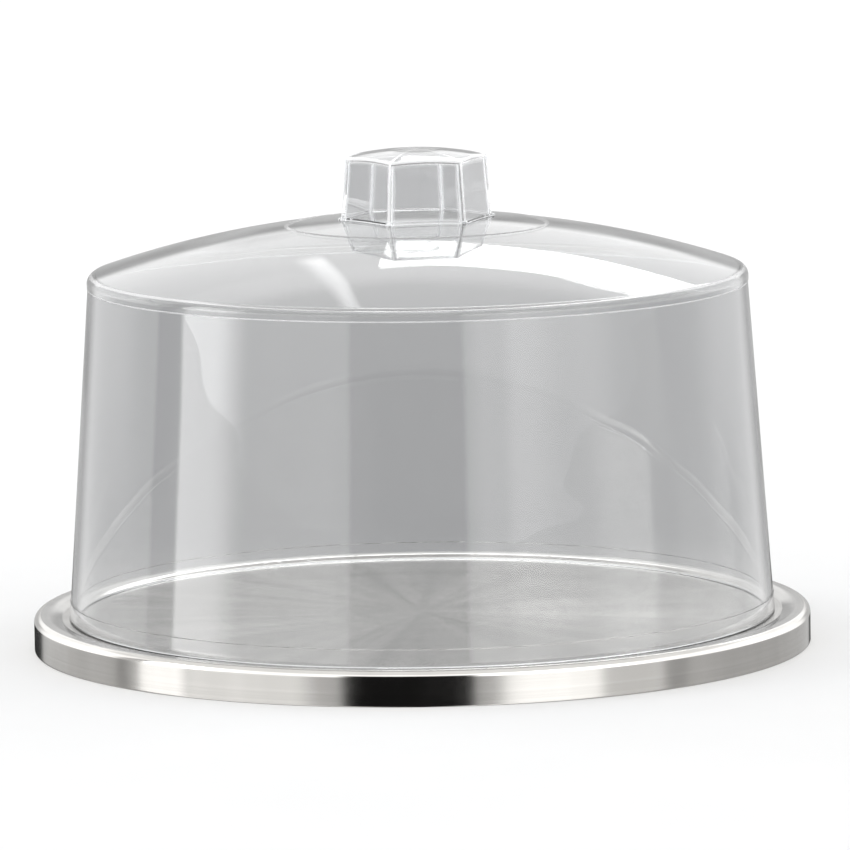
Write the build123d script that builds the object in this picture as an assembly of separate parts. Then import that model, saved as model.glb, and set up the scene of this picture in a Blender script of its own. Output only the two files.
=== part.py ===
from build123d import *

import os
from math import atan2, cos, radians, sin, sqrt

# A low pressed-steel cake plate, the clear dome cover that stands on it and the hollow
# six-sided knob bonded to the cover. Millimetres, +Z up. The origin is the centre of the
# circle on which the plate rests, and one vertical axis runs through all three pieces.
# Every round piece is a section in the XZ plane, turned about Z.

# ---- cake plate: one sheet, pressed, with its lower edge folded back inside the skirt ----
plate_diameter = 335.0
plate_sheet = 1.0
rim_height = 15.2             # table to the crest of the rim
rim_corner_radius = 2.8       # crest of the rim to its upright skirt
rim_crest_diameter = 323.0    # the crest is level from here out to the corner
seat_diameter = 310.8         # foot of the rim's inner slope, round the level floor
seat_depth = 1.6              # crest of the rim down to the floor
hem_height = 6.0
hem_edge_radius = 0.6

# ---- dome cover: one clear moulding, open below ----
dome_diameter = 304.8
dome_wall = 3.0
dome_edge_radius = 0.9        # rounding of the lower edge, inside and out
foot_band_height = 7.6
foot_band_step = 0.3          # how far the foot band stands out from the wall above it
wall_top_diameter = 283.6
wall_height = 142.6           # lower edge to the step under the crown
crown_step = 0.25             # how far the crown stands out over the wall
crown_skirt = 5.0             # that step to the sharp corner that the shoulder rounds off
crown_rise = 23.8             # that corner to the middle of the crown
shoulder_radius = 3.8
shoulder_inner_radius = 2.0
pad_diameter = 111.5          # low raised pad round the knob
pad_height = 0.4
pad_ramp = 0.8

# ---- knob: a hollow six-sided cup, mouth down, bonded by its foot to the crown ----
knob_sides = 6
knob_foot_radius = 32.9       # axis to corner, at the foot
knob_top_radius = 30.4        # axis to corner, at the top of the corner
knob_corner_height = 26.6
knob_cap_rise = 3.4           # top of the corners to the middle of the cap
knob_wall = 2.2
knob_corner_rounding = 1.1
knob_cap_rounding = 0.8
knob_flange_width = 1.3       # outward lip along the foot
knob_flange_height = 1.1
knob_disc_diameter = 21.0     # shallow disc moulded under the middle of the cap
knob_disc_height = 0.6

# ---- worked out from the above ----
plate_radius = plate_diameter / 2
floor_z = rim_height - seat_depth
dome_radius = dome_diameter / 2
wall_top_radius = wall_top_diameter / 2
wall_lean = (dome_radius - wall_top_radius) / wall_height
step_z = floor_z + wall_height
crown_edge_radius = wall_top_radius + crown_step
crown_edge_z = step_z + crown_skirt
crown_radius = (crown_edge_radius**2 + crown_rise**2) / (2 * crown_rise)
crown_centre_z = crown_edge_z + crown_rise - crown_radius
pad_radius = pad_diameter / 2
pad_face_radius = crown_radius + pad_height
knob_foot_z = crown_centre_z + sqrt(pad_face_radius**2 - knob_foot_radius**2)
knob_corner_z = knob_foot_z + knob_corner_height
knob_taper = (knob_foot_radius - knob_top_radius) / knob_corner_height
cap_radius = (knob_top_radius**2 + knob_cap_rise**2) / (2 * knob_cap_rise)
cap_centre_z = knob_corner_z + knob_cap_rise - cap_radius


def turned(section):
    """Solid of revolution about Z of a closed run of edges in the XZ plane."""
    return revolve(make_face(Plane.XZ * section), Axis.Z)


def arc_about_axis(radius, centre_z, r_from, r_to):
    """Arc centred on the axis, in section, between two distances from the axis."""
    def on_arc(r):
        return (r, centre_z + sqrt(radius**2 - r**2))

    return ThreePointArc(on_arc(r_from), on_arc((r_from + r_to) / 2), on_arc(r_to))


def rim_slope(offset):
    """Inner slope of the rim in section: level at the crest, then curving down to the floor."""
    crest = rim_crest_diameter / 2
    run = crest - seat_diameter / 2
    radius = (run**2 + seat_depth**2) / (2 * seat_depth) - offset
    centre_z = rim_height - offset - radius
    end_angle = atan2(run, (run**2 - seat_depth**2) / (2 * seat_depth))

    def at(angle):
        return (crest - radius * sin(angle), centre_z + radius * cos(angle))

    return ThreePointArc(at(0), at(end_angle / 2), at(end_angle))


def cake_plate():
    inner_radius = plate_radius - plate_sheet
    hem_radius = plate_radius - 2 * plate_sheet
    skirt_top = rim_height - rim_corner_radius
    corner_centre = plate_radius - rim_corner_radius
    inner_corner = rim_corner_radius - plate_sheet
    diagonal = sqrt(0.5)

    slope_top = rim_slope(0)
    slope_under = rim_slope(plate_sheet)
    under_foot = slope_under @ 1
    section = Curve() + [
        Line((hem_radius, 0), (plate_radius, 0)),
        Line((plate_radius, 0), (plate_radius, skirt_top)),
        ThreePointArc(
            (plate_radius, skirt_top),
            (corner_centre + rim_corner_radius * diagonal, skirt_top + rim_corner_radius * diagonal),
            (corner_centre, rim_height),
        ),
        Line((corner_centre, rim_height), slope_top @ 0),
        slope_top,
        Line(slope_top @ 1, (0, floor_z)),
        Line((0, floor_z), (0, floor_z - plate_sheet)),
        Line((0, floor_z - plate_sheet), (under_foot.X, floor_z - plate_sheet)),
        Line((under_foot.X, floor_z - plate_sheet), under_foot),
        slope_under,
        Line(slope_under @ 0, (corner_centre, rim_height - plate_sheet)),
        ThreePointArc(
            (corner_centre, rim_height - plate_sheet),
            (corner_centre + inner_corner * diagonal, skirt_top + inner_corner * diagonal),
            (inner_radius, skirt_top),
        ),
        Line((inner_radius, skirt_top), (inner_radius, hem_height)),
        Line((inner_radius, hem_height), (hem_radius, hem_height)),
        Line((hem_radius, hem_height), (hem_radius, 0)),
    ]
    plate = turned(section)
    resting_edges = plate.edges().filter_by(GeomType.CIRCLE).group_by(Axis.Z)[0]
    return fillet(resting_edges, hem_edge_radius)


def dome_cover():
    band_top = floor_z + foot_band_height
    wall_at_band = dome_radius - foot_band_step - wall_lean * foot_band_height
    inner_crown = crown_radius - dome_wall
    inner_foot = dome_radius - dome_wall
    inner_top = inner_foot - wall_lean * (crown_edge_z - floor_z)
    pad_edge = pad_radius + pad_ramp

    crown = arc_about_axis(crown_radius, crown_centre_z, crown_edge_radius, pad_edge)
    pad = arc_about_axis(pad_face_radius, crown_centre_z, pad_radius, 0)
    inside = arc_about_axis(inner_crown, crown_centre_z, 0, inner_top)
    section = Curve() + [
        Line((inner_foot, floor_z), (dome_radius, floor_z)),
        Line((dome_radius, floor_z), (dome_radius - wall_lean * foot_band_height, band_top)),
        Line((dome_radius - wall_lean * foot_band_height, band_top), (wall_at_band, band_top + foot_band_step)),
        Line((wall_at_band, band_top + foot_band_step), (wall_top_radius, step_z)),
        Line((wall_top_radius, step_z), (crown_edge_radius, step_z + crown_step)),
        Line((crown_edge_radius, step_z + crown_step), (crown_edge_radius, crown_edge_z)),
        crown,
        Line(crown @ 1, pad @ 0),
        pad,
        Line(pad @ 1, inside @ 0),
        inside,
        Line(inside @ 1, (inner_foot, floor_z)),
    ]
    dome = turned(section)
    rings = dome.edges().filter_by(GeomType.CIRCLE)
    shoulder = rings.filter_by(lambda e: abs(e.radius - crown_edge_radius) < 0.01).sort_by(Axis.Z)[-1]
    dome = fillet(shoulder, shoulder_radius)
    rings = dome.edges().filter_by(GeomType.CIRCLE)
    inner_shoulder = rings.filter_by(lambda e: abs(e.radius - inner_top) < 0.01).sort_by(Axis.Z)[-1]
    dome = fillet(inner_shoulder, shoulder_inner_radius)
    lower_edges = dome.edges().filter_by(GeomType.CIRCLE).group_by(Axis.Z)[0]
    return fillet(lower_edges, dome_edge_radius)


def tapered_hexagon(growth, rounding, z_from, z_to):
    """Six-sided solid that narrows upward with the knob's taper, its corners rounded."""
    def outline(z):
        radius = knob_foot_radius - knob_taper * (z - knob_foot_z) + growth
        hexagon = RegularPolygon(radius, knob_sides)
        return Plane.XY.offset(z) * fillet(hexagon.vertices(), rounding)

    return loft([outline(z_from), outline(z_to)])


def ball(radius, centre_z):
    return Pos(0, 0, centre_z) * Sphere(radius)


def lid_knob():
    below = knob_foot_z - 3
    above = knob_corner_z + 2 * knob_cap_rise
    flange_top = knob_foot_z + knob_flange_height
    wall_at_corner = knob_wall / cos(radians(180 / knob_sides))
    disc_face_z = cap_centre_z + cap_radius - knob_wall - knob_disc_height
    cap_ball = ball(cap_radius, cap_centre_z)

    body = tapered_hexagon(0, knob_corner_rounding, below, above) & cap_ball
    cap_edges = body.edges().filter_by(lambda e: e.center().Z > knob_corner_z - knob_cap_rise)
    body = fillet(cap_edges, knob_cap_rounding)
    flange = tapered_hexagon(knob_flange_width, knob_corner_rounding, below, flange_top)
    flange = chamfer(flange.edges().group_by(Axis.Z)[-1], knob_flange_height / 3)
    hollow = tapered_hexagon(-wall_at_corner, knob_corner_rounding, below, above)
    hollow &= ball(cap_radius - knob_wall, cap_centre_z)
    disc = Cylinder(knob_disc_diameter / 2, knob_wall, align=(Align.CENTER, Align.CENTER, Align.MIN))
    disc = Pos(0, 0, disc_face_z) * disc
    return body + flange - hollow + (disc & cap_ball) - ball(pad_face_radius, crown_centre_z)


pieces = {
    "cake_plate": cake_plate(),
    "dome_cover": dome_cover(),
    "lid_knob": lid_knob(),
}

os.makedirs("parts", exist_ok=True)
for name, shape in pieces.items():
    export_step(shape, f"parts/{name}.step")
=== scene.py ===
from math import acos, atan2, cos, pi, radians, sin, sqrt, tan

import bmesh
import bpy
from mathutils import Matrix, Vector


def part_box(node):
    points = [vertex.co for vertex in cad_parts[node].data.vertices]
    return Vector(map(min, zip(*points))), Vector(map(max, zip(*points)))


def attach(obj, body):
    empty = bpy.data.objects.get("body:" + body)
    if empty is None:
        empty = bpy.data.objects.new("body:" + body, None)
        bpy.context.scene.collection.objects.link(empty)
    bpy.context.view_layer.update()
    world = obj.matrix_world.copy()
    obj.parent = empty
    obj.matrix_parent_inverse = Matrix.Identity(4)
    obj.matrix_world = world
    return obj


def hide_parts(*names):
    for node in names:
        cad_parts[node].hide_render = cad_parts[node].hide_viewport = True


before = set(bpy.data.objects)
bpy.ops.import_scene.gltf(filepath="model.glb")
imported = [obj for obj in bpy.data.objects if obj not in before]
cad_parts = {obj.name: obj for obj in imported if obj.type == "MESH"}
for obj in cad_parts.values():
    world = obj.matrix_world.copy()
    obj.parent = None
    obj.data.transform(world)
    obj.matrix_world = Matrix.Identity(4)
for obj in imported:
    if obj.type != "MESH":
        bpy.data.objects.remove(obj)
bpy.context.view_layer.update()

MM = 0.001

# ---- places that come from the CAD frame ----
plate_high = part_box("cake_plate")[1]
dome_low, dome_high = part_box("dome_cover")
plate_radius = plate_high.x
rim_height = plate_high.z
floor_z = dome_low.z
dome_radius = dome_high.x

# ---- cake plate ----
plate_sheet = 1.0 * MM
rim_corner_radius = 2.8 * MM
rim_crest_radius = 161.5 * MM
seat_radius = 155.4 * MM
seat_depth = rim_height - floor_z
hem_height = 6.0 * MM
hem_rounding = 0.6 * MM
hem_inner_rounding = 0.3 * MM
seat_rounding = 0.5 * MM

# ---- dome cover ----
dome_wall = 3.0 * MM
dome_edge_rounding = 0.9 * MM
band_height = 7.6 * MM
band_step = 0.3 * MM
wall_top_radius = 141.8 * MM
wall_height = 142.6 * MM
crown_step = 0.25 * MM
crown_skirt = 5.0 * MM
crown_rise = 23.8 * MM
shoulder_rounding = 3.8 * MM
shoulder_inner_rounding = 2.0 * MM
pad_radius = 55.75 * MM
pad_height = 0.4 * MM
pad_ramp = 0.8 * MM
pad_rounding = 0.5 * MM
step_rounding = 0.06 * MM

# ---- knob ----
knob_sides = 6
knob_foot_radius = 32.9 * MM
knob_top_radius = 30.4 * MM
knob_corner_height = 26.6 * MM
knob_cap_rise = 3.4 * MM
knob_wall = 2.2 * MM
knob_corner_rounding = 1.1 * MM
knob_cap_rounding = 0.8 * MM
knob_lip_width = 1.3 * MM
knob_lip_height = 1.1 * MM
knob_disc_radius = 10.5 * MM
knob_disc_height = 0.6 * MM
knob_inner_rounding = 0.5 * MM
glue_gap = 0.03 * MM          # kept between the knob's foot and the crown

# ---- worked out from the above ----
wall_lean = (dome_radius - wall_top_radius) / wall_height
step_z = floor_z + wall_height
crown_edge_radius = wall_top_radius + crown_step
crown_edge_z = step_z + crown_skirt
crown_radius = (crown_edge_radius**2 + crown_rise**2) / (2 * crown_rise)
crown_centre_z = crown_edge_z + crown_rise - crown_radius
pad_face_radius = crown_radius + pad_height
knob_foot_z = crown_centre_z + sqrt(pad_face_radius**2 - knob_foot_radius**2)
knob_taper = (knob_foot_radius - knob_top_radius) / knob_corner_height
cap_radius = (knob_top_radius**2 + knob_cap_rise**2) / (2 * knob_cap_rise)
cap_centre_z = knob_foot_z + knob_corner_height + knob_cap_rise - cap_radius

# ---- mesh fineness ----
TURN_STEPS = 384
ARC_STEP = radians(9)         # largest turn of a rounded corner between two points
GUARD = 0.25 * MM             # plain margin kept beside a rounded corner
SMALL_ROUND = 0.15 * MM       # rounding of an edge that looks sharp
ON_AXIS = 1e-7
SLOPE_STEPS = 12
FLOOR_STEPS = 40
UNDER_FLOOR_STEPS = 20
WALL_STEPS = 30
INNER_CROWN_STEPS = 60
CROWN_STEPS = 40
PAD_STEPS = 30

# how far each run of points stops short of the rounded corner at its end
SHORT_OF_SEAT = 1.5 * MM
PAST_CREST_EDGE = 0.6 * MM
SHORT_OF_INNER_SHOULDER = 2.6 * MM
SHORT_OF_SHOULDER = 3.6 * MM
SHORT_OF_PAD_RAMP = 1.0 * MM


# ======================================================================================
# Turned pieces: a section of (distance from axis, height, rounding), turned about Z
# ======================================================================================
def along(a, b, distance):
    """Point at that distance from a on the way to b, in section."""
    run, rise = b[0] - a[0], b[1] - a[1]
    length = sqrt(run * run + rise * rise)
    return (a[0] + run * distance / length, a[1] + rise * distance / length)


def rounded_corner(before, corner, after, rounding):
    """Points of one rounded corner, with a guard point on the flat at each side."""
    x, z = corner
    a = Vector((before[0] - x, before[1] - z)).normalized()
    b = Vector((after[0] - x, after[1] - z)).normalized()
    opening = acos(max(-1.0, min(1.0, a.dot(b))))
    turn = pi - opening
    reach = rounding * tan(turn / 2)
    middle = (a + b).normalized() * (rounding / sin(opening / 2))
    start, end = a * reach - middle, b * reach - middle
    steps = max(2, round(turn / ARC_STEP))
    points = [along(corner, before, reach + GUARD)]
    for i in range(steps + 1):
        t = i / steps
        mixed = (start * sin((1 - t) * turn) + end * sin(t * turn)) / sin(turn)
        points.append((x + middle.x + mixed.x, z + middle.y + mixed.y))
    points.append(along(corner, after, reach + GUARD))
    return points


def section_points(section):
    """The section's points with each corner that has a rounding replaced by its arc."""
    points = []
    for i, (x, z, rounding) in enumerate(section):
        if not rounding:
            points.append((x, z))
            continue
        points += rounded_corner(section[i - 1][:2], (x, z), section[i + 1][:2], rounding)
    return points


def ball_run(radius, centre_z, r_from, r_to, steps):
    """Points on a ball centred on the axis, in section."""
    runs = [r_from + (r_to - r_from) * i / steps for i in range(steps + 1)]
    return [(r, centre_z + sqrt(radius**2 - r**2), 0) for r in runs]


def straight_run(a, b, steps):
    return [
        (a[0] + (b[0] - a[0]) * i / steps, a[1] + (b[1] - a[1]) * i / steps, 0)
        for i in range(1, steps)
    ]


def mesh_object(name, mesh, material_for_face, materials):
    """An object for a mesh: smooth shaded, with its materials, by face if there are several."""
    obj = bpy.data.objects.new(name, mesh)
    bpy.context.scene.collection.objects.link(obj)
    for material in materials:
        mesh.materials.append(material)
    for face in mesh.polygons:
        face.use_smooth = True
        face.material_index = material_for_face(face) if len(materials) > 1 else 0
    return obj


def join_rings(bm, rings):
    """Faces between rings of vertices; a ring of one vertex closes the end."""
    count = max(len(ring) for ring in rings)
    for lower, upper in zip(rings, rings[1:]):
        for i in range(count):
            j = (i + 1) % count
            corners = [
                lower[i % len(lower)], lower[j % len(lower)],
                upper[j % len(upper)], upper[i % len(upper)],
            ]
            bm.faces.new(list(dict.fromkeys(corners)))


def turned(name, section, materials, material_for_face=None):
    """A closed piece from a section whose first and last points lie on the axis."""
    turns = [(cos(2 * pi * i / TURN_STEPS), sin(2 * pi * i / TURN_STEPS)) for i in range(TURN_STEPS)]
    bm = bmesh.new()
    rings = []
    for x, z in section_points(section):
        if x < ON_AXIS:
            rings.append([bm.verts.new((0, 0, z))])
        else:
            rings.append([bm.verts.new((x * across, x * along_y, z)) for across, along_y in turns])
    join_rings(bm, rings)
    bmesh.ops.recalc_face_normals(bm, faces=bm.faces)
    mesh = bpy.data.meshes.new(name)
    bm.to_mesh(mesh)
    bm.free()
    return mesh_object(name, mesh, material_for_face, materials)


# ======================================================================================
# Materials
# ======================================================================================
class Nodes:
    """Short way to add and join shader nodes."""

    def __init__(self, tree):
        self.tree = tree
        tree.nodes.clear()

    def add(self, kind, settings=None, **inputs):
        node = self.tree.nodes.new(kind)
        for key, value in (settings or {}).items():
            setattr(node, key, value)
        for key, value in inputs.items():
            self.feed(node, key, value)
        return node

    def feed(self, node, key, value):
        """Set or join an input, by its name with _ for each space, or by its number as _0, _1 ..."""
        numbered = key[0] == "_" and key[1:].isdigit()
        socket = node.inputs[int(key[1:]) if numbered else key.replace("_", " ")]
        if isinstance(value, bpy.types.NodeSocket):
            self.tree.links.new(value, socket)
        else:
            socket.default_value = value

    def math(self, operation, a, b=0.0):
        return self.add("ShaderNodeMath", {"operation": operation}, _0=a, _1=b).outputs[0]

    def spread(self, value, low, high, to_low, to_high):
        """Map value smoothly from low..high to to_low..to_high, held at the ends."""
        node = self.add(
            "ShaderNodeMapRange", {"interpolation_type": "SMOOTHSTEP", "clamp": True},
            Value=value, From_Min=low, From_Max=high, To_Min=to_low, To_Max=to_high,
        )
        return node.outputs[0]

    def noise(self, vector, scale, detail=2.0, roughness=0.5):
        node = self.add(
            "ShaderNodeTexNoise", None, Vector=vector, Scale=scale, Detail=detail, Roughness=roughness
        )
        return node.outputs["Fac"]

    def mix_value(self, factor, a, b):
        return self.add("ShaderNodeMix", {"data_type": "FLOAT"}, _0=factor, _2=a, _3=b).outputs[0]

    def mix_colour(self, factor, a, b):
        return self.add("ShaderNodeMix", {"data_type": "RGBA"}, _0=factor, _6=a, _7=b).outputs[2]

    def combine(self, x, y, z):
        return self.add("ShaderNodeCombineXYZ", None, X=x, Y=y, Z=z).outputs[0]

    def bump(self, height, strength, distance, normal=None):
        node = self.add("ShaderNodeBump", None, Height=height, Strength=strength, Distance=distance)
        if normal is not None:
            self.feed(node, "Normal", normal)
        return node.outputs[0]


def new_material(name):
    material = bpy.data.materials.new(name)
    material.use_nodes = True
    nodes = Nodes(material.node_tree)
    place = nodes.add("ShaderNodeTexCoord").outputs["Object"]
    return material, nodes, place


def round_place(nodes, place):
    """Distance from the axis, and the angle about it, of a point on a turned piece."""
    parts = nodes.add("ShaderNodeSeparateXYZ", None, Vector=place)
    x, y = parts.outputs["X"], parts.outputs["Y"]
    squares = nodes.math("ADD", nodes.math("MULTIPLY", x, x), nodes.math("MULTIPLY", y, y))
    radius = nodes.math("SQRT", squares)
    angle = nodes.math("ARCTAN2", y, x)
    return radius, angle, parts.outputs["Z"]


def rgba(colour, share=1.0):
    """An opaque colour, made lighter by that share."""
    return (*[min(1.0, part * share) for part in colour], 1.0)


def finish_material(nodes, shader):
    output = nodes.add("ShaderNodeOutputMaterial")
    nodes.feed(output, "Surface", shader)


PLASTIC_IOR = 1.49
# Painted highlight lines: along the plastic's edges it turns rough and mostly opaque, so its pale tint shows
# as white lines.
HIGHLIGHT_LINE_ROUGHNESS = 0.40      # where an edge is a painted highlight line in full
HIGHLIGHT_LINE_TRANSMISSION = 0.15
PAD_HIGHLIGHT_SHARE = 0.35           # how far each of the cover's edges is whitened as painted highlight
STEP_HIGHLIGHT_SHARE = 0.5
SHOULDER_HIGHLIGHT_SHARE = 0.4


def clear_plastic(name, tint, roughness_low, roughness_high, shadow_tint, painted_edge_highlights):
    """Polished clear moulding: faint flow waves, rubbing marks, a few smears, and edges made rough and
    whitish as painted highlight lines.
    """
    material, nodes, place = new_material(name)
    radius, angle, height = round_place(nodes, place)
    smear = nodes.noise(place, 14.0, 3.0, 0.6)
    marks_place = nodes.combine(
        nodes.math("MULTIPLY", angle, 3.0),
        nodes.math("MULTIPLY", height, 60.0),
        nodes.math("MULTIPLY", radius, 60.0),
    )
    marks = nodes.spread(nodes.noise(marks_place, 7.0, 4.0, 0.7), 0.62, 0.8, 0.0, 1.0)
    roughness = nodes.math(
        "ADD",
        nodes.spread(smear, 0.45, 0.75, roughness_low, roughness_high),
        nodes.math("MULTIPLY", marks, 0.008),
    )
    painted_highlight_share = painted_edge_highlights(nodes, radius, angle, height)
    colour = nodes.mix_colour(nodes.noise(place, 9.0), rgba(tint), rgba(tint, 1.015))
    flow = nodes.bump(nodes.noise(place, 16.0, 1.0), 0.35, 0.0006)
    shader = nodes.add("ShaderNodeBsdfPrincipled", None, IOR=PLASTIC_IOR)
    nodes.feed(shader, "Base_Color", colour)
    # painted highlight: on the edge lines the plastic turns rough and mostly opaque, showing its pale tint as
    # white
    nodes.feed(shader, "Roughness", nodes.mix_value(painted_highlight_share, roughness, HIGHLIGHT_LINE_ROUGHNESS))
    nodes.feed(shader, "Transmission_Weight", nodes.mix_value(painted_highlight_share, 1.0, HIGHLIGHT_LINE_TRANSMISSION))
    nodes.feed(shader, "Normal", nodes.bump(marks, 0.06, 0.00005, flow))
    clear = nodes.add("ShaderNodeBsdfTransparent", None, Color=rgba(shadow_tint))
    lamp_ray = nodes.add("ShaderNodeLightPath").outputs["Is Shadow Ray"]
    mixed = nodes.add("ShaderNodeMixShader", None, _0=lamp_ray, _1=shader.outputs[0], _2=clear.outputs[0])
    finish_material(nodes, mixed.outputs[0])
    return material


def steel(name, bright, dark, roughness_low, roughness_high, ring_scale, ring_bump, anisotropic=0.0):
    """Stainless steel: fine rings left by turning or polishing, cloudy patches, light scratches."""
    material, nodes, place = new_material(name)
    radius, angle, height = round_place(nodes, place)
    across, along_y = nodes.math("COSINE", angle), nodes.math("SINE", angle)
    ring_place = nodes.combine(
        nodes.math("MULTIPLY", radius, ring_scale),
        nodes.math("MULTIPLY", height, ring_scale),
        nodes.math("MULTIPLY", along_y, 0.7),
    )
    rings = nodes.noise(ring_place, 1.0, 3.0, 0.6)
    fan_place = nodes.combine(
        nodes.math("MULTIPLY", across, 5.0),
        nodes.math("MULTIPLY", along_y, 5.0),
        nodes.math("MULTIPLY", radius, 1.5),
    )
    fans = nodes.noise(fan_place, 1.6, 3.0, 0.55)
    clouds = nodes.noise(place, 26.0, 4.0, 0.6)
    scratches = nodes.spread(nodes.noise(ring_place, 0.4, 6.0, 0.75), 0.68, 0.8, 0.0, 1.0)
    tone = nodes.math("ADD", nodes.math("MULTIPLY", rings, 0.45), nodes.math("MULTIPLY", fans, 0.55))
    tone = nodes.spread(tone, 0.32, 0.68, 0.0, 1.0)
    roughness = nodes.math(
        "ADD",
        nodes.spread(clouds, 0.3, 0.7, roughness_low, roughness_high),
        nodes.math("MULTIPLY", scratches, 0.08),
    )
    shader = nodes.add("ShaderNodeBsdfPrincipled", None, Metallic=1.0, Anisotropic=anisotropic)
    nodes.feed(shader, "Base_Color", nodes.mix_colour(tone, rgba(dark), rgba(bright)))
    nodes.feed(shader, "Roughness", roughness)
    nodes.feed(shader, "Normal", nodes.bump(rings, ring_bump, 0.00004))
    if anisotropic:
        tangent = nodes.add("ShaderNodeTangent", {"direction_type": "RADIAL", "axis": "Z"})
        nodes.feed(shader, "Tangent", tangent.outputs[0])
    finish_material(nodes, shader.outputs[0])
    return material


def within(nodes, value, low, high, soft):
    """1 from low to high, 0 outside."""
    rise = nodes.spread(value, low - soft, low, 0.0, 1.0)
    return nodes.math("MULTIPLY", rise, nodes.spread(value, high, high + soft, 1.0, 0.0))


def cover_edge_highlights(nodes, radius, angle, height):
    """Painted highlight lines on the low step round the pad, the rounded shoulder and the small step under
    the crown.
    """
    pad = within(nodes, radius, pad_radius - 0.3 * MM, pad_radius + pad_ramp + 0.3 * MM, 0.1 * MM)
    outside = nodes.spread(height, crown_edge_z + 19.0 * MM, crown_edge_z + 19.4 * MM, 0.0, PAD_HIGHLIGHT_SHARE)
    pad = nodes.math("MULTIPLY", pad, outside)
    step = within(nodes, height, step_z - 0.1 * MM, step_z + crown_step + 0.2 * MM, 0.05 * MM)
    outside = nodes.spread(radius, wall_top_radius - 1.5 * MM, wall_top_radius - 1.0 * MM, 0.0, STEP_HIGHLIGHT_SHARE)
    step = nodes.math("MULTIPLY", step, outside)
    shoulder = within(nodes, radius, crown_edge_radius - 2.2 * MM, crown_edge_radius - 1.15 * MM, 0.2 * MM)
    above_step = nodes.spread(height, step_z + 2.0 * MM, step_z + 3.0 * MM, 0.0, SHOULDER_HIGHLIGHT_SHARE)
    shoulder = nodes.math("MULTIPLY", shoulder, above_step)
    return nodes.math("MAXIMUM", nodes.math("MAXIMUM", pad, step), shoulder)


def knob_edge_highlights(nodes, radius, angle, height):
    """Painted highlight lines on the six upright corners and the edge of the cap, each a firm line with a
    fading border.
    """
    side_angle = 2 * pi / knob_sides
    sixth = nodes.math("DIVIDE", angle, side_angle)
    off_corner = nodes.math("ABSOLUTE", nodes.math("SUBTRACT", sixth, nodes.math("ROUND", sixth)))
    off_corner = nodes.math("MULTIPLY", off_corner, side_angle)
    sideways = nodes.math("MULTIPLY", off_corner, radius)
    line = nodes.spread(sideways, 0.35 * MM, 0.5 * MM, 0.65, 0.0)
    border = nodes.spread(sideways, 0.5 * MM, 1.8 * MM, 0.35, 0.0)
    corner = nodes.math("ADD", line, border)
    corner = nodes.math("MULTIPLY", corner, nodes.spread(radius, 27.5 * MM, 28.0 * MM, 0.0, 1.0))
    from_face = nodes.math("SUBTRACT", side_angle / 2, off_corner)
    reach = nodes.math("MULTIPLY", radius, nodes.math("COSINE", from_face))
    bow = nodes.math("SUBTRACT", cap_radius**2, nodes.math("MULTIPLY", radius, radius))
    cap_height = nodes.math("ADD", nodes.math("SQRT", bow), cap_centre_z)
    under_cap = nodes.math("SUBTRACT", cap_height, height)
    line = nodes.spread(under_cap, 0.8 * MM, 1.1 * MM, 0.6, 0.0)
    border = nodes.spread(under_cap, 0.8 * MM, 3.4 * MM, 0.4, 0.0)
    cap_edge = nodes.math("ADD", line, border)
    cap_edge = nodes.math("MULTIPLY", cap_edge, nodes.spread(reach, 25.2 * MM, 25.8 * MM, 0.0, 1.0))
    return nodes.math("MAXIMUM", corner, cap_edge)


dome_plastic = clear_plastic(
    "clear_cover_plastic", tint=(0.980, 0.985, 0.988), roughness_low=0.0, roughness_high=0.012,
    shadow_tint=(0.92, 0.93, 0.94), painted_edge_highlights=cover_edge_highlights,
)
knob_plastic = clear_plastic(
    "clear_knob_plastic", tint=(0.975, 0.980, 0.985), roughness_low=0.0, roughness_high=0.012,
    shadow_tint=(0.90, 0.91, 0.92), painted_edge_highlights=knob_edge_highlights,
)
rim_steel = steel(
    "polished_rim_steel", bright=(0.66, 0.645, 0.62), dark=(0.59, 0.575, 0.55),
    roughness_low=0.09, roughness_high=0.15, ring_scale=900.0, ring_bump=0.10, anisotropic=0.2,
)
# The crest is the same polished steel as the rim, in a darker copy: painted shade standing in for the dark
# surroundings it mirrors.
crest_steel_painted_darker = steel(
    "polished_steel_crest_painted_darker", bright=(0.36, 0.352, 0.34), dark=(0.29, 0.284, 0.273),
    roughness_low=0.09, roughness_high=0.15, ring_scale=900.0, ring_bump=0.10, anisotropic=0.2,
)
# Satin spun steel, rougher than the rim; its colour is also set darker than the rim steel's, as painted
# shade.
floor_steel_painted_darker = steel(
    "spun_steel_floor_painted_darker", bright=(0.42, 0.408, 0.392), dark=(0.28, 0.272, 0.26),
    roughness_low=0.17, roughness_high=0.25, ring_scale=1500.0, ring_bump=0.25, anisotropic=0.5,
)
under_steel = steel(
    "plain_under_steel", bright=(0.62, 0.61, 0.59), dark=(0.52, 0.51, 0.50),
    roughness_low=0.34, roughness_high=0.46, ring_scale=500.0, ring_bump=0.2,
)


# ======================================================================================
# Cake plate
# ======================================================================================
def slope_run(offset):
    """Inner slope of the rim in section, from the crest down to the floor."""
    run = rim_crest_radius - seat_radius
    bend = (run**2 + seat_depth**2) / (2 * seat_depth)
    radius = bend - offset
    end_angle = atan2(run, bend - seat_depth)
    points = []
    for i in range(SLOPE_STEPS + 1):
        angle = end_angle * i / SLOPE_STEPS
        points.append((rim_crest_radius - radius * sin(angle), rim_height - bend + radius * cos(angle), 0))
    return points


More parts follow.
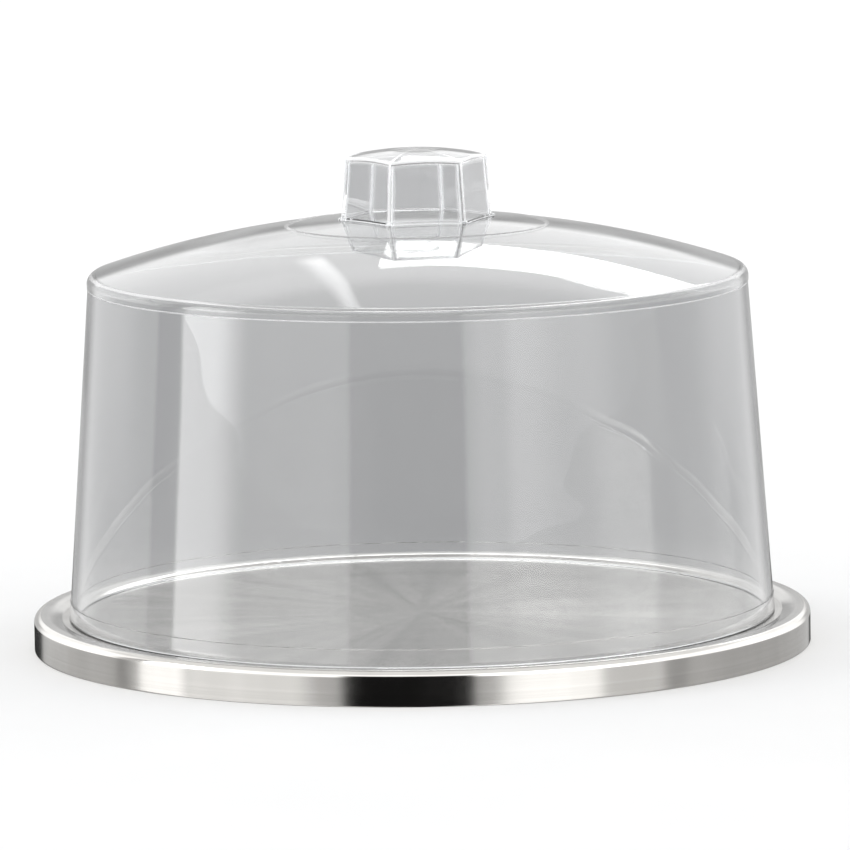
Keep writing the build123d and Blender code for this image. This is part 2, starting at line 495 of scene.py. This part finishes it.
def plate_section():
    """The pressed sheet in section, from the middle of the floor round the hem and back."""
    slope = slope_run(0.0)
    under_slope = slope_run(plate_sheet)
    foot_radius = slope[-1][0]
    under_foot_radius = under_slope[-1][0]
    floor_end = foot_radius - SHORT_OF_SEAT
    under_z = floor_z - plate_sheet
    inner_radius = plate_radius - plate_sheet
    hem_radius = plate_radius - 2 * plate_sheet
    section = [(0.0, floor_z, 0)]
    section += straight_run((0.0, floor_z), (floor_end, floor_z), FLOOR_STEPS)
    section += [(floor_end, floor_z, 0), (foot_radius, floor_z, seat_rounding)]
    section += slope[:-2][::-1]
    section += [(rim_crest_radius + PAST_CREST_EDGE, rim_height, 0)]
    section += [(plate_radius, rim_height, rim_corner_radius)]
    section += [(plate_radius, hem_height, 0)]
    section += [(plate_radius, 0.0, hem_rounding), (hem_radius, 0.0, hem_inner_rounding)]
    section += [(hem_radius, hem_height, hem_inner_rounding), (inner_radius, hem_height, SMALL_ROUND)]
    section += [(inner_radius, rim_height - plate_sheet, rim_corner_radius - plate_sheet)]
    section += under_slope[:-1]
    section += [(under_foot_radius, under_z, SMALL_ROUND)]
    section += straight_run((under_foot_radius, under_z), (0.0, under_z), UNDER_FLOOR_STEPS)
    section += [(0.0, under_z, 0)]
    return section


RIM, FLOOR, UNDERSIDE, CREST_PAINTED_DARKER = range(4)


def plate_finish(face):
    """Which material a face of the plate has, by where it lies and which way it looks; the crest gets a
    darker copy of the rim steel, as painted shade.
    """
    x, y, z = face.center
    radius = sqrt(x * x + y * y)
    if radius < plate_radius - rim_corner_radius:
        if face.normal.z <= 0:
            return UNDERSIDE
        return FLOOR if radius < seat_radius - 0.1 * MM else CREST_PAINTED_DARKER
    inside = radius < plate_radius - 0.4 * MM and z < floor_z - 0.2 * MM
    return UNDERSIDE if inside else RIM


plate_steels = [rim_steel, floor_steel_painted_darker, under_steel, crest_steel_painted_darker]
plate = turned("cake_plate_pressing", plate_section(), plate_steels, plate_finish)
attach(plate, "plate")
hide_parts("cake_plate")


# ======================================================================================
# Dome cover
# ======================================================================================
def dome_section():
    """The moulding in section, from the middle of its inside down the wall and up outside."""
    band_top = floor_z + band_height
    band_radius = dome_radius - wall_lean * band_height
    wall_at_band = dome_radius - band_step - wall_lean * band_height
    wall_foot = (wall_at_band, band_top + band_step)
    inner_crown = crown_radius - dome_wall
    inner_foot = dome_radius - dome_wall
    inner_top = inner_foot - wall_lean * (crown_edge_z - floor_z)
    inner_corner_z = crown_centre_z + sqrt(inner_crown**2 - inner_top**2)
    pad_edge = pad_radius + pad_ramp
    ramp_foot_z = crown_centre_z + sqrt(crown_radius**2 - pad_edge**2)
    ramp_top_z = crown_centre_z + sqrt(pad_face_radius**2 - pad_radius**2)
    inner_end = inner_top - SHORT_OF_INNER_SHOULDER
    crown_start = crown_edge_radius - SHORT_OF_SHOULDER
    crown_end = pad_edge + SHORT_OF_PAD_RAMP
    pad_start = pad_radius - SHORT_OF_PAD_RAMP
    section = ball_run(inner_crown, crown_centre_z, 0.0, inner_end, INNER_CROWN_STEPS)
    section += [(inner_top, inner_corner_z, shoulder_inner_rounding)]
    section += straight_run((inner_top, inner_corner_z), (inner_foot, floor_z), WALL_STEPS)
    section += [(inner_foot, floor_z, dome_edge_rounding), (dome_radius, floor_z, dome_edge_rounding)]
    section += [(band_radius, band_top, SMALL_ROUND), (*wall_foot, SMALL_ROUND)]
    section += straight_run(wall_foot, (wall_top_radius, step_z), WALL_STEPS)
    section += [(wall_top_radius, step_z, SMALL_ROUND)]
    section += [(crown_edge_radius, step_z + crown_step, step_rounding)]
    section += [(crown_edge_radius, crown_edge_z, shoulder_rounding)]
    section += ball_run(crown_radius, crown_centre_z, crown_start, crown_end, CROWN_STEPS)
    section += [(pad_edge, ramp_foot_z, pad_rounding), (pad_radius, ramp_top_z, pad_rounding)]
    section += ball_run(pad_face_radius, crown_centre_z, pad_start, 0.0, PAD_STEPS)
    return section


dome = turned("clear_dome_shell", dome_section(), [dome_plastic])
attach(dome, "cover")
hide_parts("dome_cover")


# ======================================================================================
# Knob: a hollow six-sided cup with a domed cap
# ======================================================================================
CORNER_POINTS = 9
SIDE_POINTS = 15
CAP_EDGE_STEPS = 6
WALL_ROWS = 10
CAP_ROWS = 14
DISC_RINGS = (0.998, 0.75, 0.5, 0.25)
KNOB_SHARP_ANGLE = radians(32)


def hexagon_outline(corner_radius, rounding):
    """Points round a six-sided outline with rounded corners, and the outward direction at each."""
    half = pi / knob_sides
    inner = (corner_radius * cos(half) - rounding) / cos(half)
    points = []
    for side in range(knob_sides):
        middle = 2 * half * side
        centre = Vector((inner * cos(middle), inner * sin(middle)))
        for i in range(CORNER_POINTS):
            angle = middle - half + 2 * half * i / (CORNER_POINTS - 1)
            outward = Vector((cos(angle), sin(angle)))
            points.append((centre + outward * rounding, outward))
        next_centre = Vector((inner * cos(middle + 2 * half), inner * sin(middle + 2 * half)))
        outward = Vector((cos(middle + half), sin(middle + half)))
        for i in range(1, SIDE_POINTS):
            spot = centre.lerp(next_centre, i / SIDE_POINTS)
            points.append((spot + outward * rounding, outward))
    return points


def ball_height(radius, centre_z, spot):
    """Height of a ball centred on the axis over a spot of the ground plan."""
    return centre_z + sqrt(radius**2 - spot.x**2 - spot.y**2)


def cup_rings(inset, rounding, edge_rounding, ball, foot_lift, disc_z=None):
    """Rings of points from the foot up the wall, round the cap's edge and over the cap.

    With a disc, the middle of the cap is a level disc at that height instead.
    """
    rings = []
    face_taper = knob_taper * cos(pi / knob_sides)
    edge_inset = face_taper * knob_corner_height + edge_rounding
    foot = hexagon_outline(knob_foot_radius - inset, rounding)
    for row in range(WALL_ROWS + 1):
        ring = []
        for spot, outward in foot:
            low = ball_height(pad_face_radius, crown_centre_z, spot) + foot_lift
            high = ball_height(ball - edge_rounding, cap_centre_z, spot - outward * edge_inset)
            z = low + (high - low) * row / WALL_ROWS
            lean = face_taper * (z - knob_foot_z)
            ring.append(Vector((*(spot - outward * lean), z)))
        rings.append(ring)
    edge_centres = []
    for (spot, outward), top in zip(foot, rings[-1]):
        flat = Vector((top.x, top.y)) - outward * edge_rounding
        centre = Vector((flat.x, flat.y, ball_height(ball - edge_rounding, cap_centre_z, flat)))
        edge_centres.append((centre, outward))
    for step in range(1, CAP_EDGE_STEPS + 1):
        ring = []
        for centre, outward in edge_centres:
            sideways = Vector((outward.x, outward.y, 0))
            upward = (centre - Vector((0, 0, cap_centre_z))).normalized()
            ring.append(centre + sideways.slerp(upward, step / CAP_EDGE_STEPS) * edge_rounding)
        rings.append(ring)
    border = rings[-1]
    middle_radius = knob_disc_radius if disc_z else 0.0
    for row in range(1, CAP_ROWS + 1):
        ring = []
        for point in border:
            flat = Vector((point.x, point.y))
            flat = flat.lerp(flat.normalized() * middle_radius, row / CAP_ROWS)
            ring.append(Vector((flat.x, flat.y, ball_height(ball, cap_centre_z, flat))))
        rings.append(ring)
    if disc_z:
        for share in DISC_RINGS:
            rings.append([Vector((p.x * share, p.y * share, disc_z)) for p in ring])
        rings.append([Vector((0, 0, disc_z))])
    else:
        rings[-1] = [Vector((0, 0, cap_centre_z + ball))]
    return rings


def knob_mesh():
    """The cup as one closed mesh: its inside, the lip round its foot and its outside."""
    at_corner = 1 / cos(pi / knob_sides)
    outer = cup_rings(0.0, knob_corner_rounding, knob_cap_rounding, cap_radius, knob_lip_height)
    disc_z = cap_centre_z + cap_radius - knob_wall - knob_disc_height
    inner = cup_rings(
        knob_wall * at_corner, knob_corner_rounding, knob_inner_rounding,
        cap_radius - knob_wall, glue_gap, disc_z,
    )

    def foot_ring(growth, lift):
        ring = []
        for spot, outward in hexagon_outline(knob_foot_radius + growth, knob_corner_rounding):
            ring.append(Vector((spot.x, spot.y, ball_height(pad_face_radius, crown_centre_z, spot) + lift)))
        return ring

    chamfer = knob_lip_height / 3
    lip = [
        foot_ring(knob_lip_width - SMALL_ROUND, glue_gap),
        foot_ring(knob_lip_width, glue_gap + SMALL_ROUND),
        foot_ring(knob_lip_width, knob_lip_height - chamfer),
        foot_ring(knob_lip_width - chamfer * at_corner, knob_lip_height),
        foot_ring(2 * SMALL_ROUND, knob_lip_height),
    ]
    bm = bmesh.new()
    join_rings(bm, [[bm.verts.new(point) for point in ring] for ring in inner[::-1] + lip + outer])
    bmesh.ops.recalc_face_normals(bm, faces=bm.faces)
    mesh = bpy.data.meshes.new("clear_hex_knob")
    bm.to_mesh(mesh)
    bm.free()
    return mesh


knob = mesh_object("clear_hex_knob", knob_mesh(), None, [knob_plastic])
knob.data.set_sharp_from_angle(angle=KNOB_SHARP_ANGLE)
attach(knob, "cover")
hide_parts("lid_knob")


# ======================================================================================
# Camera, floor and lights
# ======================================================================================
camera_azimuth = radians(-8.8)
camera_distance = 3.300
camera_height = 0.5403
camera_pitch = -0.1343
camera_yaw = 0.0007
camera_roll = 0.0141
camera_lens = 327.5
camera_sensor = 36.0
camera_reach = 60.0

toward_camera = Vector((sin(camera_azimuth), -cos(camera_azimuth), 0))
to_the_right = Vector((cos(camera_azimuth), sin(camera_azimuth), 0))
UP = Vector((0, 0, 1))


def place_camera():
    ahead = to_the_right * sin(camera_yaw) - toward_camera * cos(camera_yaw)
    forward = ahead * cos(camera_pitch) + UP * sin(camera_pitch)
    sideways = ahead.cross(UP)
    upward = sideways.cross(forward)
    camera_x = sideways * cos(camera_roll) - upward * sin(camera_roll)
    camera_y = sideways * sin(camera_roll) + upward * cos(camera_roll)
    data = bpy.data.cameras.new("camera")
    data.lens = camera_lens
    data.sensor_width = camera_sensor
    data.clip_end = camera_reach
    camera = bpy.data.objects.new("camera", data)
    bpy.context.scene.collection.objects.link(camera)
    turn = Matrix((camera_x, camera_y, -forward)).transposed().to_4x4()
    place = toward_camera * camera_distance + UP * camera_height
    camera.matrix_world = Matrix.Translation(place) @ turn
    bpy.context.scene.camera = camera
    bpy.context.scene.view_settings.view_transform = "Standard"


def direction(azimuth, elevation):
    """Unit vector at that azimuth, in degrees to the right of the camera, and elevation."""
    a, e = radians(azimuth), radians(elevation)
    flat = toward_camera * cos(a) + to_the_right * sin(a)
    return flat * cos(e) + UP * sin(e)


def softbox(name, azimuth, elevation, distance, width, height, brightness, aim_height):
    """A rectangular lamp that faces the object, of the given surface brightness."""
    data = bpy.data.lights.new(name, "AREA")
    data.shape = "RECTANGLE"
    data.size = width
    data.size_y = height
    data.energy = brightness * pi * width * height
    lamp = bpy.data.objects.new(name, data)
    bpy.context.scene.collection.objects.link(lamp)
    away = direction(azimuth, elevation)
    lamp.location = UP * aim_height + away * distance
    lamp.rotation_euler = away.to_track_quat("Z", "Y").to_euler()
    lamp.visible_camera = False


place_camera()
softbox(
    "softbox_behind_right", azimuth=170.5, elevation=28.6, distance=2.4,
    width=0.86, height=0.39, brightness=3.0, aim_height=0.17,
)


def floor_material():
    """Pale board; what is seen of it through clear plastic is darker behind the object, as painted shade."""
    material, nodes, place = new_material("pale_floor")
    mottle = nodes.noise(place, 6.0, 3.0, 0.6)
    seen = nodes.mix_colour(mottle, rgba((0.86, 0.86, 0.86)), rgba((0.9, 0.9, 0.9)))
    # painted shade: seen through the plastic, the floor is darker the further it lies behind the object
    nearness = nodes.add("ShaderNodeVectorMath", {"operation": "DOT_PRODUCT"}, _0=place, _1=toward_camera)
    shade = nodes.spread(nearness.outputs["Value"], -0.35, 0.25, 0.0, 1.0)
    painted_shade_through_plastic = nodes.mix_colour(shade, rgba((0.30, 0.30, 0.305)), rgba((0.80, 0.79, 0.78)))
    through_plastic = nodes.add("ShaderNodeLightPath").outputs["Is Transmission Ray"]
    colour = nodes.mix_colour(through_plastic, seen, painted_shade_through_plastic)
    shader = nodes.add("ShaderNodeBsdfDiffuse", None, Color=colour)
    finish_material(nodes, shader.outputs[0])
    return material


FLOOR_CELLS = 8
FLOOR_REACH = 14.0


def studio_floor():
    bm = bmesh.new()
    bmesh.ops.create_grid(bm, x_segments=FLOOR_CELLS, y_segments=FLOOR_CELLS, size=FLOOR_REACH)
    mesh = bpy.data.meshes.new("studio_floor")
    bm.to_mesh(mesh)
    bm.free()
    floor = mesh_object("studio_floor", mesh, None, [floor_material()])
    floor.visible_glossy = False


# Brightness of the surroundings that gloss mirrors, by azimuth in degrees to the right of the
# camera: (from, to, brightness, softness at the start, softness at the end). Later ones cover
# earlier ones.
TABLE_LEVEL = 0.62
TABLE_PANELS = [
    (-92.0, -74.0, 1.65, 2.0, 2.0),
    (-74.0, -34.0, 1.12, 4.0, 4.0),
    (24.0, 55.0, 1.60, 4.0, 4.0),
    (55.0, 76.0, 0.86, 4.0, 4.0),
    (76.0, 84.0, 0.42, 2.0, 2.0),
    (96.0, 158.0, 0.54, 6.0, 6.0),
    (-102.0, -97.0, 0.36, 2.0, 2.0),
]
WALL_LEVEL = 1.80
WALL_PANELS = [
    (18.0, 68.0, 2.70, 4.0, 8.0),
    (30.0, 44.0, 3.60, 3.0, 8.0),
    (-88.5, -67.0, 6.20, 1.5, 8.0),
    (-101.0, -89.0, 0.70, 1.5, 1.5),
]
BEHIND_TABLE_LEVEL = 0.03
BEHIND_SIDES_LEVEL = 2.10
BEHIND_CORNERS_LEVEL = 1.50
STRIP_LIGHT_LEVEL = 2.60
DARK_CARD_LEVEL = 0.01
THROUGH_PLASTIC_SHARE = 0.6


def studio_world():
    """White for the camera; for gloss, a table, walls, a ceiling, a strip light and a dark card.

    What is seen straight through the plastic is the same room, dimmer and without the card.
    """
    world = bpy.data.worlds.new("studio")
    bpy.context.scene.world = world
    world.use_nodes = True
    nodes = Nodes(world.node_tree)
    around = nodes.add("ShaderNodeTexCoord").outputs["Generated"]
    turned_round = nodes.add(
        "ShaderNodeVectorRotate", {"rotation_type": "Z_AXIS"}, Vector=around, Angle=-camera_azimuth
    ).outputs[0]
    parts = nodes.add("ShaderNodeSeparateXYZ", None, Vector=turned_round)
    right, ahead, up = (parts.outputs[k] for k in "XYZ")
    azimuth = nodes.math("DEGREES", nodes.math("ARCTAN2", right, nodes.math("MULTIPLY", ahead, -1.0)))
    off_front = nodes.math("ABSOLUTE", azimuth)

    def between(start, end, soft, soft_end):
        """1 between two azimuths, 0 outside."""
        rise = nodes.spread(azimuth, start - soft, start + soft, 0.0, 1.0)
        fall = nodes.spread(azimuth, end - soft_end, end + soft_end, 1.0, 0.0)
        return nodes.math("MULTIPLY", rise, fall)

    def with_panels(level, panels):
        for start, end, brightness, soft, soft_end in panels:
            level = nodes.mix_value(between(start, end, soft, soft_end), level, brightness)
        return level

    def past(start, end):
        """0 in front, 1 from that azimuth on at both sides."""
        return nodes.spread(off_front, start, end, 0.0, 1.0)

    table = with_panels(TABLE_LEVEL, TABLE_PANELS)
    table = nodes.mix_value(between(-154.0, 166.0, 3.0, 3.0), BEHIND_TABLE_LEVEL, table)

    walls = with_panels(WALL_LEVEL, WALL_PANELS)
    walls = nodes.mix_value(past(106.0, 120.0), walls, BEHIND_SIDES_LEVEL)
    walls = nodes.mix_value(past(120.0, 150.0), walls, BEHIND_CORNERS_LEVEL)
    walls = nodes.mix_value(past(146.0, 160.0), walls, nodes.spread(up, 0.14, 0.20, 0.60, 1.42))
    ceiling = nodes.spread(up, 0.56, 0.63, 1.55, 1.15)
    walls = nodes.mix_value(nodes.spread(up, 0.48, 0.53, 0.0, 1.0), walls, ceiling)
    strip_light = nodes.math(
        "MULTIPLY", between(-176.0, -175.0, 0.2, 0.6), nodes.spread(up, 0.42, 0.47, 0.0, 1.0)
    )
    walls = nodes.mix_value(strip_light, walls, STRIP_LIGHT_LEVEL)

    above_front = nodes.spread(up, -0.13, -0.05, 0.0, 1.0)
    above_back = nodes.spread(up, -0.155, -0.135, 0.0, 1.0)
    above_table = nodes.mix_value(past(120.0, 150.0), above_front, above_back)
    open_room = nodes.mix_value(above_table, table, walls)
    card = nodes.math("MULTIPLY", between(-23.5, 15.0, 1.5, 1.5), nodes.spread(up, 0.15, 0.28, 1.0, 0.0))
    room = nodes.mix_value(card, open_room, DARK_CARD_LEVEL)

    path = nodes.add("ShaderNodeLightPath").outputs
    through_plastic = nodes.math("MULTIPLY", open_room, THROUGH_PLASTIC_SHARE)
    brightness = nodes.mix_value(path["Is Transmission Ray"], room, through_plastic)
    brightness = nodes.mix_value(path["Is Diffuse Ray"], brightness, 1.0)
    brightness = nodes.mix_value(path["Is Camera Ray"], brightness, 1.0)
    background = nodes.add("ShaderNodeBackground", None, Color=rgba((1.0, 1.0, 1.0)), Strength=brightness)
    output = nodes.add("ShaderNodeOutputWorld")
    nodes.feed(output, "Surface", background.outputs[0])


studio_floor()
studio_world()
